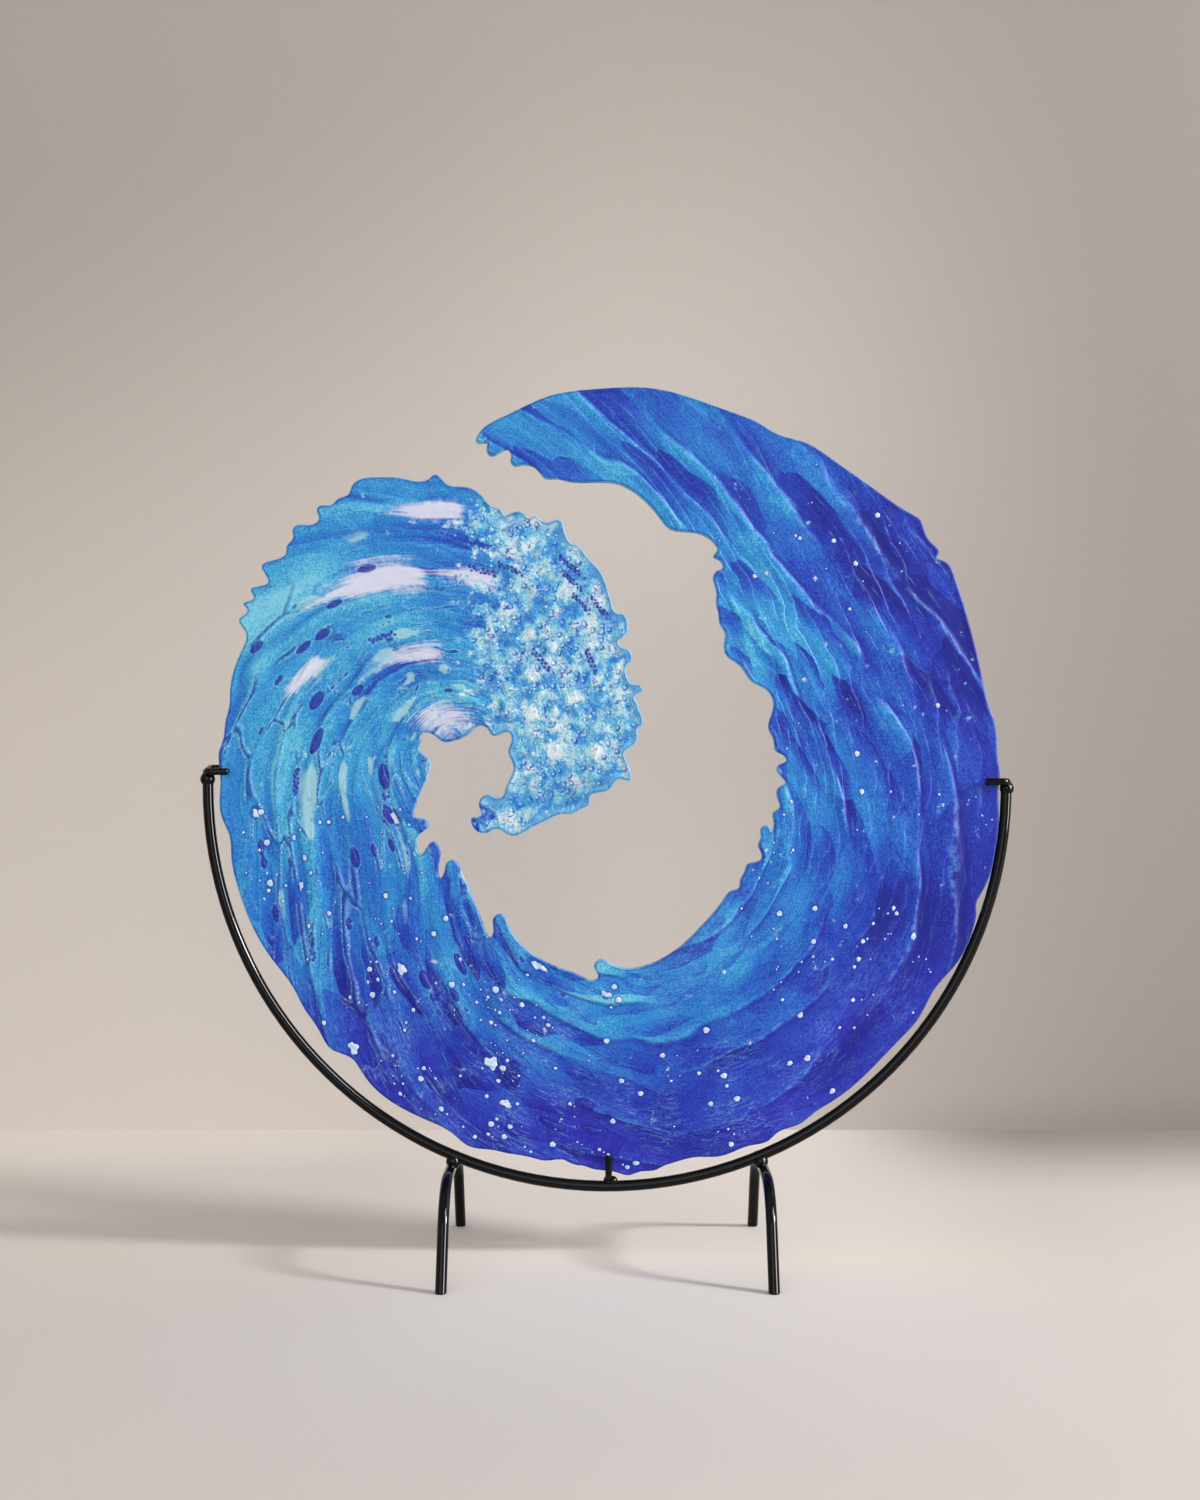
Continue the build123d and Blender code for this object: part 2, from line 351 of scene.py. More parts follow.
class Surface:
    """What the front of the glass is like at the given points: its relief and the tones of its strokes.

    A stroke is one turn of a count that grows across the sweep and is swayed by soft noise. Within a turn the
    glass rises, and at the turn's end it drops, as where a palette knife has lifted off.
    """

    def __init__(self, points, reach):
        self.points = points
        self.edge = reach
        self.u, self.v = shares(points).T
        self.radius = np.hypot(self.u, self.v)
        self.share, self.on = sweep_share(points)
        self.along, self.across = flow(points)
        self.foam = foam_share(points)
        self.broad_sway = self.drawn_out(0.095, 0.036, 1, 3) - 0.5
        self.small_sway = self.drawn_out(0.030, 0.015, 2, 3) - 0.5
        self.patch = self.drawn_out(0.040, 0.020, 12) - 0.5
        self.count_strokes()
        self.find_zones()
        self.find_tones()
        self.find_pale_marks()
        relief = self.stroke_relief() * (1 - self.foam) + self.foam_relief() * self.foam
        self.relief = np.clip(relief, 0, highest_relief) * relief_depth / highest_relief

    def drawn_out(self, long, wide, seed, octaves=2):
        """Soft noise drawn out along the sweep: its cells have the given length and width in metres."""
        return cloud(self.along / long, self.across / wide, lattice(seed), octaves)

    def count_strokes(self):
        """Counts of the broad and the fine strokes, how firmly they are pressed, and the leaves' borders."""
        broad_sway = self.broad_sway
        small_sway = self.small_sway
        self.broad = self.across / 0.0230 + 1.3 * broad_sway + 0.35 * small_sway + 40
        self.fine = (self.across + 0.22 * self.along) / 0.0085 + 2.0 * broad_sway + 1.2 * small_sway + 80
        self.press = smooth(self.drawn_out(0.05, 0.018, 3), 0.34, 0.62)
        self.fine_press = smooth(self.drawn_out(0.026, 0.010, 4), 0.40, 0.66)
        self.leaf_along = self.along / 0.034 + 0.9 * small_sway
        self.leaf_across = self.across / 0.0125 + 1.1 * broad_sway + 0.6 * small_sway
        _, self.vein = cells(self.leaf_along, self.leaf_across, lattice(10), (34.0, 12.5))

    def find_zones(self):
        """How far each point is in the ring, its right, its bottom and its left, and in the calm parts."""
        self.ring = 1 - self.share
        self.in_right = within(self.on, right_zone)
        self.in_low = within(self.on, low_zone)
        self.in_left = np.where(self.on < 350, smooth(self.on, 215, 262), 0) * (1 - self.foam)
        left_spots = smooth(spots(self.points, 7, 13), 0.25, 0.5)
        self.left = self.in_left * left_spots * smooth(self.v, 0.60, 0.36)
        self.low = self.in_low * smooth(spots(self.points, 6, 14, 9), 0.3, 0.55)
        calm_band = within(self.on, calm_zone) * (0.6 + 0.4 * smooth(self.radius, 0.6, 0.85))
        calm_arm = 0.5 * smooth(self.on, 75, 45) * self.ring
        self.calm = np.maximum(calm_band, calm_arm)

    def find_tones(self):
        """Tone from dark 0 to light 1, and how violet it is: by zone, with broad and small patches."""
        drift = self.drawn_out(0.10, 0.040, 6) - 0.5
        inner = smooth(self.radius, 0.98, 0.50) - 0.45
        inner_light = 0.34 * inner * self.ring * np.clip(self.in_right + self.in_low + 0.30, 0, 1)
        arm_light = 0.15 * smooth(self.on, 70, 20) * self.ring
        area = 0.48 - 0.155 * self.in_right + inner_light
        area = area - 0.078 * self.in_low - 0.015 * self.in_left + 0.18 * self.share + arm_light
        self.tone = area + 0.38 * drift + 0.36 * self.patch
        low_violet = self.in_low * smooth(self.radius, 0.60, 0.95)
        right_violet = 0.45 * self.in_right * smooth(self.radius, 0.75, 1.0)
        violet = np.clip(low_violet + right_violet, 0, 1)
        self.violet = np.clip(violet * (0.75 + 1.6 * self.patch), 0, 1)

    def find_pale_marks(self):
        """White sweeps of the head with a patch at its heart, and pale leaves on the left."""
        sweep = white_sweeps(self.along, self.across + 0.008 * self.small_sway)
        sweep = sweep * smooth(self.share, 0.6, 1.0)
        heart = np.exp(-((self.u + 0.42) / 0.075) ** 2 - ((self.v - 0.155) / 0.042) ** 2)
        heart = heart * (0.8 + self.small_sway)
        self.sweep = np.clip(sweep + 1.1 * heart * self.share, 0, 1)
        leaf_noise = cloud(self.along / 0.028 + 1.6 * self.small_sway,
                           self.across / 0.0125 + 1.8 * self.broad_sway, lattice(15))
        leaf = smooth(leaf_noise, 0.66, 0.78) * self.in_left
        self.pale = leaf * smooth(self.v, -0.45, -0.25) * smooth(self.radius, 0.97, 0.85)

    def stroke_relief(self):
        """Height of the strokes and of the ridges between the leaves on the left."""
        fine_height = 0.20 * risen(self.fine, 0.75) * self.fine_press * (1 - 0.75 * self.left)
        ridges = 0.45 * np.exp(-(self.vein / 1.3) ** 2) * self.left
        strokes = 0.50 * risen(self.broad, 0.86) * self.press + 0.75 * (self.patch + 0.5)
        return strokes + fine_height + ridges

    def foam_relief(self):
        """Height of the foam: pebbles on larger lumps, each of its own height."""
        x, z = self.points.T
        skew = 0.004 * (cloud(x / 0.008, z / 0.008, lattice(16)) - 0.5)
        pebble_kind, pebble = cells((x + skew) / 0.0046, (z - skew) / 0.0046, lattice(8))
        lump_kind, lump = cells((x - skew) / 0.012, (z + skew) / 0.012, lattice(9))
        pebbles = 0.40 * smooth(pebble, 0.0, 0.45) * pebble_kind
        return pebbles + 0.65 * smooth(lump, 0, 0.5) * (0.2 + 0.8 * lump_kind)

    def front(self):
        """Depth of the front: the relief under the slab's face, rounded down at the edge."""
        sunk = (relief_depth - self.relief) * smooth(self.edge, 0, edge_fade)
        return -plate_half + sunk + edge_drop(self.edge)

    def back(self):
        """Depth of the back: almost flat, rounded at the edge."""
        x, z = self.points.T
        uneven = back_unevenness * cloud(x / 0.03, z / 0.03, lattice(5))
        return plate_half - uneven - edge_drop(self.edge)


def surface_mesh(name, place, faces):
    """A mesh object at the origin with the given points and faces, shaded smooth."""
    mesh = bpy.data.meshes.new(name)
    mesh.from_pydata(place.tolist(), [], faces)
    mesh.update()
    mesh.shade_smooth()
    piece = bpy.data.objects.new(name, mesh)
    bpy.context.scene.collection.objects.link(piece)
    return piece


def filled(loop, inner, inner_reach):
    """Triangles over the loop and the points inside it, with each point's distance to the loop."""
    both = np.vstack([loop, inner])
    made = delaunay_2d_cdt(both.tolist(), [], [list(range(len(loop)))], 1, 1e-7)
    points = np.array([tuple(p) for p in made[0]])
    source = np.array([p[0] for p in made[3]])
    ring = np.empty(len(loop), dtype=int)
    of_loop = source < len(loop)
    ring[source[of_loop]] = np.nonzero(of_loop)[0]
    reach = np.concatenate([np.zeros(len(loop)), inner_reach])[source]
    return points, np.array(made[2]), ring, reach


def inner_points(loop, pitch, offsets, fine=None):
    """Rings of points just inside the loop, then a staggered grid, finer where the foam is."""
    ahead = np.roll(loop, -1, axis=0) - np.roll(loop, 1, axis=0)
    ahead = ahead / np.linalg.norm(ahead, axis=1)[:, None]
    inwards = np.stack([-ahead[:, 1], ahead[:, 0]], axis=1)
    kept = []
    kept_reach = []
    for offset in offsets:
        ring = loop + inwards * offset
        reach, inside = outline_reach(ring, loop)
        clear = inside & (reach > 0.93 * offset)
        kept.append(ring[clear])
        kept_reach.append(reach[clear])
    grids = [(pitch, False)] + ([(fine, True)] if fine else [])
    for step, in_foam in grids:
        grid = staggered_grid(step)
        if fine:
            grid = grid[(foam_share(grid) > 0.5) == in_foam]
        reach, inside = outline_reach(grid, loop)
        clear = inside & (reach > offsets[-1] + 0.55 * step)
        kept.append(grid[clear])
        kept_reach.append(reach[clear])
    return np.vstack(kept), np.concatenate(kept_reach)


# Drops of glass fused onto the front

def scattered(looks, weight, count, long, slim, seed, fewer=2.6):
    """Drops over the glass, more of them where the weight is higher, that don't crowd each other.

    Gives the number of each drop's point, its half length, its half width, which is from slim's first to its
    second share of the length, and its place. The higher fewer is, the fewer of them are large.
    """
    draw = np.random.default_rng(seed)
    chosen = draw.choice(len(weight), size=count, replace=False, p=weight / weight.sum())
    half_long = long[0] + (long[1] - long[0]) * draw.random(count) ** fewer
    half_wide = half_long * (slim[0] + (slim[1] - slim[0]) * draw.random(count))
    place = looks.points[chosen]
    gap = np.hypot(place[:, 0, None] - place[:, 0], place[:, 1, None] - place[:, 1])
    near = gap < half_long[:, None] + half_long
    free = ~np.any(np.tril(near, -1), axis=1)
    return chosen[free], half_long[free], half_wide[free], place[free]


def bead_rows(looks, weight, rows, beads, seed):
    """Rows of small beads that follow the sweep in a zigzag, a step apart and a little out of line.

    Gives the number of the point nearest to each bead, its half length, its half width and its place.
    """
    step = 1.35 * mm
    zigzag = 0.75 * mm
    shift = 0.9 * mm
    draw = np.random.default_rng(seed)
    chosen = draw.choice(len(weight), size=rows, replace=False, p=weight / weight.sum())
    ahead = looks.ahead[chosen][:, None]
    aside = np.stack([-ahead[..., 1], ahead[..., 0]], axis=2)
    offset = ((np.arange(beads) - (beads - 1) / 2) * step)[:, None]
    side = (zigzag * (-1.0) ** np.arange(beads))[:, None]
    place = looks.points[chosen][:, None] + offset * ahead + side * aside
    place = (place + shift * (draw.random(place.shape) - 0.5)).reshape(-1, 2)
    away = np.hypot(place[:, 0, None] - looks.points[:, 0], place[:, 1, None] - looks.points[:, 1])
    on_glass = away.min(axis=1) < 1.5 * mm
    half = (0.70 + 0.55 * draw.random(len(place))) * mm
    return away.argmin(axis=1)[on_glass], half[on_glass], half[on_glass] * 0.9, place[on_glass]


def drop_distance(points, centres, half_long, half_wide, ahead):
    """Distance in mm of each point to the nearest drop's rim, taken as an ellipse; negative inside."""
    least = np.empty(len(points))
    at_once = 8000
    for first in range(0, len(points), at_once):
        part = slice(first, first + at_once)
        dx = points[part, 0, None] - centres[:, 0]
        dz = points[part, 1, None] - centres[:, 1]
        p = (dx * ahead[:, 0] + dz * ahead[:, 1]) / half_long
        q = (dz * ahead[:, 0] - dx * ahead[:, 1]) / half_wide
        away = np.hypot(dx, dz) * (1 - 1 / np.maximum(np.hypot(p, q), 0.05))
        least[part] = np.min(away, axis=1) / mm
    return np.clip(least, -5, no_drop)


def lens_faces(count, sides):
    """Faces of lenses with three rings each: a fan at the top, a fan at the base, and two bands."""
    i = np.arange(sides)
    j = (i + 1) % sides
    last = 3 * sides
    fans = np.concatenate([np.stack([i, j, i * 0 + last], axis=1),
                           np.stack([2 * sides + j, 2 * sides + i, i * 0 + last + 1], axis=1)])
    bands = np.concatenate([np.stack([k + j, k + i, k + sides + i, k + sides + j], axis=1)
                            for k in (0, sides)])
    start = np.arange(count)[:, None, None] * (last + 2)
    return (fans + start).reshape(-1, 3).tolist() + (bands + start).reshape(-1, 4).tolist()


def lens_drops(name, centres, depth, half_long, half_wide, ahead, height, tail=0.0, wobble=0.0, sides=10,
               seed=0):
    """Lens-shaped drops: each is rings of an ellipse whose height falls as a circle does towards the rim.

    The ellipse narrows by the tail's share towards its front end, and its rim is swayed by waves of three and
    five to the turn. The base lies under the glass and is closed by a point.
    """
    count = len(centres)
    turn = np.arange(sides) * 2 * math.pi / sides
    rings = np.array([0.45, 0.80, 1.0])[:, None]
    lift = np.array([0.90, 0.62, -0.9])[:, None]
    phase = np.random.default_rng(seed).random((2, count, 1, 1)) * 2 * math.pi
    sway = 1 + wobble * (0.6 * np.sin(3 * turn + phase[0]) + 0.5 * np.sin(5 * turn + phase[1]))
    tall = height * np.clip(half_wide / half_wide.max(), 0.45, 1)
    x, z, ahead_x, ahead_z, long, wide, deep, high = (
        values[:, None, None] for values in (*centres.T, *ahead.T, half_long, half_wide, depth, tall))
    p = rings * np.cos(turn) * long * sway
    q = rings * np.sin(turn) * wide * sway * (1 - tail * (0.5 + 0.5 * np.cos(turn)))
    around = np.stack(np.broadcast_arrays(x + p * ahead_x - q * ahead_z, deep - high * lift,
                                          z + p * ahead_z + q * ahead_x), axis=3)
    top = np.stack([centres[:, 0], depth - tall, centres[:, 1]], axis=1)[:, None]
    base = np.stack([centres[:, 0], depth + 0.9 * height, centres[:, 1]], axis=1)[:, None]
    place = np.concatenate([around.reshape(count, -1, 3), top, base], axis=1)
    place[:, :, 1] = np.maximum(place[:, :, 1], -plate_half + 0.01 * mm)
    piece = surface_mesh(name, place.reshape(-1, 3), lens_faces(count, sides))
    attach(piece, "panel")
    return piece


def drop_weights(looks):
    """How thickly white drops, navy drops and foam beads lie over the glass."""
    clear = smooth(looks.edge, 2.5 * mm, 4.5 * mm)
    cluster = smooth(spots(looks.points, 11, 20), 0.46, 0.72) + 0.06
    navy_cluster = smooth(spots(looks.points, 8, 21, 5), 0.42, 0.70) + 0.08
    on = looks.on
    ring = 1 - smooth(looks.share, 0.5, 1.0)
    lower_left = within(on, lower_left_zone)
    bottom = smooth(on, 95, 120) * (1 - lower_left)
    white = ring * cluster * (0.10 + 1.0 * lower_left + 0.45 * bottom - 0.09 * smooth(on, 45, 30))
    navy = navy_cluster * (0.02 + 1.0 * looks.left + 0.5 * lower_left)
    beads = looks.foam * (0.3 + cluster)
    off_foam = clear * (1 - looks.foam)
    return white * off_foam, navy * off_foam, beads * clear


# Each kind of drop: how it is scattered, and the shape of its lenses
drop_kinds = {
    "white_drops": (scattered, dict(count=330, long=(0.45 * mm, 2.3 * mm), slim=(0.75, 1.0), seed=31),
                    dict(height=0.16 * mm, wobble=0.15)),
    "white_splashes": (scattered, dict(count=9, long=(2.4 * mm, 6.4 * mm), slim=(0.5, 0.8), seed=32,
                                       fewer=1.2), dict(height=0.20 * mm, wobble=0.34, sides=22, seed=4)),
    "navy_drops": (scattered, dict(count=46, long=(1.4 * mm, 8.5 * mm), slim=(0.24, 0.50), seed=33,
                                   fewer=1.5), dict(height=0.24 * mm, tail=0.9, wobble=0.42, sides=18)),
    "navy_rows": (bead_rows, dict(rows=11, beads=12, seed=35), dict(height=0.3 * mm, wobble=0.12)),
    "foam_beads": (scattered, dict(count=170, long=(0.7 * mm, 1.8 * mm), slim=(0.75, 1.0), seed=34),
                   dict(height=0.3 * mm, wobble=0.15)),
}


def all_drops(looks):
    """Every piece of drops, by name, and the distance in mm of the glass to white and to navy ones."""
    white, navy, beads = drop_weights(looks)
    head_rows = (looks.edge > 5 * mm) * looks.share * (looks.on > 250)
    weights = {"white_drops": white, "white_splashes": white * (looks.on > 200), "navy_drops": navy,
               "navy_rows": 0.14 * beads + 0.5 * head_rows, "foam_beads": beads}
    pieces = {}
    gap = {}
    for name, weight in weights.items():
        choose, scatter, lens = drop_kinds[name]
        at, long, wide, place = choose(looks, weight, **scatter)
        pieces[name] = lens_drops(name, place, looks.depth[at], long, wide, looks.ahead[at], **lens)
        gap[name] = drop_distance(looks.points, place, long, wide, looks.ahead[at])
    white_mm = np.minimum(gap["white_drops"], gap["white_splashes"])
    navy_mm = np.minimum(gap["navy_drops"], gap["navy_rows"] + 0.5)
    return pieces, white_mm, navy_mm


def write_layers(mesh, front, back, white_mm, navy_mm):
    """Writes what the material reads: a number at each point for each tone, and the distances in mm."""
    far = np.full(len(back.points), no_drop)
    layers = {name: np.concatenate([getattr(front, name), getattr(back, name)])
              for name in ("tone", "broad", "fine", "press", "fine_press", "vein", "foam", "violet",
                           "sweep", "pale", "left", "low", "calm", "share")}
    layers["edge_mm"] = np.concatenate([front.edge, back.edge]) / mm
    layers["white_mm"] = np.concatenate([white_mm, far])
    layers["navy_mm"] = np.concatenate([navy_mm, far])
    for name, values in layers.items():
        layer = mesh.attributes.new(name, "FLOAT", "POINT")
        layer.data.foreach_set("value", values.astype(np.float32))


def write_maps(mesh, front, back):
    """Writes two maps: the place along and across the sweep, and the same counted in leaves."""
    corner = corner_vertices(mesh)
    for map_name, names in (("flow", ("along", "across")), ("leaf", ("leaf_along", "leaf_across"))):
        both = [np.concatenate([getattr(front, name), getattr(back, name)])[corner] for name in names]
        layer = mesh.uv_layers.new(name=map_name)
        layer.data.foreach_set("uv", np.stack(both, axis=1).astype(np.float32).ravel())


def glass_wave():
    """The wave: relief on the front, a plain back, and a rounded edge between them. Its drops come with it.

    Each face is triangles over the plate's outline. Depth is a function of x and z, and a band of four-sided
    faces joins the two outlines.
    """
    loop = front_outline(nodes["glass_wave_panel"])
    inner, inner_reach = inner_points(loop, front_pitch, ring_offsets, foam_pitch)
    points, front_faces, front_ring, reach = filled(loop, inner, inner_reach)
    looks = Surface(points, reach)
    looks.depth = looks.front()
    looks.ahead = flow_direction(points)
    inner, inner_reach = inner_points(loop, back_pitch, ring_offsets[:2])
    back_points, back_faces, back_ring, back_reach = filled(loop, inner, inner_reach)
    back_looks = Surface(back_points, back_reach)
    front_place = np.stack([points[:, 0], looks.depth, points[:, 1]], axis=1)
    back_place = np.stack([back_points[:, 0], back_looks.back(), back_points[:, 1]], axis=1)
    back_faces = back_faces[:, ::-1] + len(points)
    back_ring = back_ring + len(points)
    rim = np.stack([front_ring, back_ring, np.roll(back_ring, -1), np.roll(front_ring, -1)], axis=1)
    faces = front_faces.tolist() + back_faces.tolist() + rim.tolist()
    piece = surface_mesh("glass_wave", np.vstack([front_place, back_place]), faces)
    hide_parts("glass_wave_panel")
    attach(piece, "panel")
    drops, white_mm, navy_mm = all_drops(looks)
    write_layers(piece.data, looks, back_looks, white_mm, navy_mm)
    write_maps(piece.data, looks, back_looks)
    return piece, drops


# Materials

class Nodes:
    """Adds shader nodes to one material. A value is a number, a colour or another node's output."""

    def __init__(self, name):
        self.material = bpy.data.materials.new(name)
        self.material.use_nodes = True
        self.tree = self.material.node_tree
        self.tree.nodes.clear()
        self.out = self.tree.nodes.new("ShaderNodeOutputMaterial")

    def add(self, kind, inputs, **settings):
        """The outputs of a new node, whose inputs are given by name or number."""
        made = self.tree.nodes.new(kind)
        for key, setting in settings.items():
            setattr(made, key, setting)
        for socket, value in inputs.items():
            if isinstance(value, bpy.types.NodeSocket):
                self.tree.links.new(value, made.inputs[socket])
            else:
                made.inputs[socket].default_value = value
        return made.outputs

    def show(self, surface):
        self.tree.links.new(surface, self.out.inputs["Surface"])

    def value(self, name):
        """What the mesh's layer of that name holds."""
        return self.add("ShaderNodeAttribute", {}, attribute_name=name)["Fac"]

    def math(self, operation, a, b=0.0, c=0.0):
        return self.add("ShaderNodeMath", {0: a, 1: b, 2: c}, operation=operation)[0]

    def times(self, product, *values):
        for value in values:
            product = self.math("MULTIPLY", product, value)
        return product

    def plus(self, total, *values):
        for value in values:
            total = self.math("ADD", total, value)
        return total

    def scaled(self, value, scale, shift):
        return self.math("MULTIPLY_ADD", value, scale, shift)

    def centred(self, value, strength):
        """A noise between 0 and 1 turned into a change about 0, as large as the strength from end to end."""
        return self.scaled(value, strength, -strength / 2)

    def faded(self, value, strength):
        """1 where the value is 0, and less by the strength where it is 1."""
        return self.scaled(value, -strength, 1.0)

    def step(self, value, low, high, to_low=0.0, to_high=1.0):
        """Smooth step from to_low at low to to_high at high."""
        inputs = {"Value": value, "From Min": low, "From Max": high, "To Min": to_low, "To Max": to_high}
        return self.add("ShaderNodeMapRange", inputs, interpolation_type="SMOOTHSTEP")[0]

    def within(self, value, zone):
        """1 inside a zone of four values and 0 outside, with a smooth step over each end."""
        return self.times(self.step(value, zone[0], zone[1]), self.step(value, zone[3], zone[2]))

    def mix(self, share, a, b):
        return self.add("ShaderNodeMix", {"Factor": share, "A": a, "B": b}, data_type="RGBA")["Result"]

    def over(self, colour, code, *shares):
        """A colour given by its code, laid over what is there by the product of the shares."""
        return self.mix(self.times(*shares), colour, linear(code))

    def place(self, scale=(1, 1, 1), uv=None):
        """The place on the object, or on its map of that name, times the scale."""
        if uv:
            source = self.add("ShaderNodeUVMap", {}, uv_map=uv)["UV"]
        else:
            source = self.add("ShaderNodeTexCoord", {})["Object"]
        return self.add("ShaderNodeMapping", {"Scale": scale, "Vector": source})[0]

    def noise(self, where, scale, detail, rough=0.5, distortion=0.0):
        inputs = {"Vector": where, "Scale": scale, "Detail": detail, "Roughness": rough,
                  "Distortion": distortion}
        return self.add("ShaderNodeTexNoise", inputs)["Fac"]

    def patches(self, where, scale, low, high):
        """Soft patches: 1 where a noise is above high, and 0 where it is under low."""
        return self.step(self.noise(where, scale, 2), low, high)

    def cells(self, where, scale):
        """Distance to the seed of the cell that the place is in."""
        return self.add("ShaderNodeTexVoronoi", {"Vector": where, "Scale": scale})["Distance"]

    def enlarged(self, vector, scale):
        return self.add("ShaderNodeVectorMath", {0: vector, "Scale": scale}, operation="SCALE")[0]

    def vector_math(self, operation, a, b):
        return self.add("ShaderNodeVectorMath", {0: a, 1: b}, operation=operation)[0]

    def parts(self, vector):
        return self.add("ShaderNodeSeparateXYZ", {0: vector})

    def swayed(self, where, scale, reach):
        """The place moved about by a noise of the given scale, up to half the reach each way."""
        sway = self.add("ShaderNodeTexNoise", {"Vector": where, "Scale": scale})["Color"]
        return self.vector_math("ADD", where, self.enlarged(sway, reach))

    def plane_cells(self, where):
        """Cells about 1 across: the way from the seed in two numbers, its length, and two random numbers."""
        made = self.add("ShaderNodeTexVoronoi", {"Vector": where, "Scale": 1}, voronoi_dimensions="2D")
        lean, rise, _ = self.parts(self.vector_math("SUBTRACT", where, made["Position"]))
        kind, other_kind, _ = self.add("ShaderNodeSeparateColor", {0: made["Color"]})
        return lean, rise, made["Distance"], kind, other_kind

    def front_cells(self, where, scale):
        """Cells seen from the front, by x and z, of the given number to the metre."""
        x, _, z = self.parts(where)
        flat = self.add("ShaderNodeCombineXYZ", {0: x, 1: z})[0]
        return self.plane_cells(self.enlarged(flat, scale))

    def ramp(self, value, stops):
        """Colour by value, from stops of a place and a colour code."""
        colour = self.add("ShaderNodeValToRGB", {"Fac": value})["Color"]
        elements = colour.node.color_ramp.elements
        while len(elements) < len(stops):
            elements.new(0.5)
        for element, (place, code) in zip(elements, stops):
            element.position = place
            element.color = linear(code)
        return colour

    def bump(self, height, distance, strength, **under):
        """Normal tilted by a height, on top of another Normal where one is given."""
        inputs = {"Height": height, "Distance": distance, "Strength": strength, **under}
        return self.add("ShaderNodeBump", inputs)["Normal"]

    def shader(self, **sockets):
        """The surface. A space in a socket's name is written as an underscore."""
        inputs = {name.replace("_", " "): value for name, value in sockets.items()}
        surface = self.add("ShaderNodeBsdfPrincipled", inputs)[0]
        self.show(surface)
        return surface


# Colours by tone, from dark to light
glass_blues = [
    (0.00, "#101C8C"), (0.14, "#182CA8"), (0.28, "#1B44B8"), (0.42, "#1F62C4"), (0.56, "#267FCE"),
    (0.70, "#349BD6"), (0.84, "#56B9DE"), (1.00, "#82CDE6"),
]
glass_violets = [
    (0.00, "#1E1892"), (0.22, "#2A2AB0"), (0.42, "#3040BE"), (0.60, "#305CC6"), (0.80, "#388CD2"),
    (1.00, "#88C0E2"),
]
foam_tones = [
    (0.00, "#2A70C8"), (0.20, "#3C94D8"), (0.40, "#5CB2DC"), (0.58, "#8CCAE0"), (0.76, "#BADAE4"),
    (1.00, "#DEE9EE"),
]


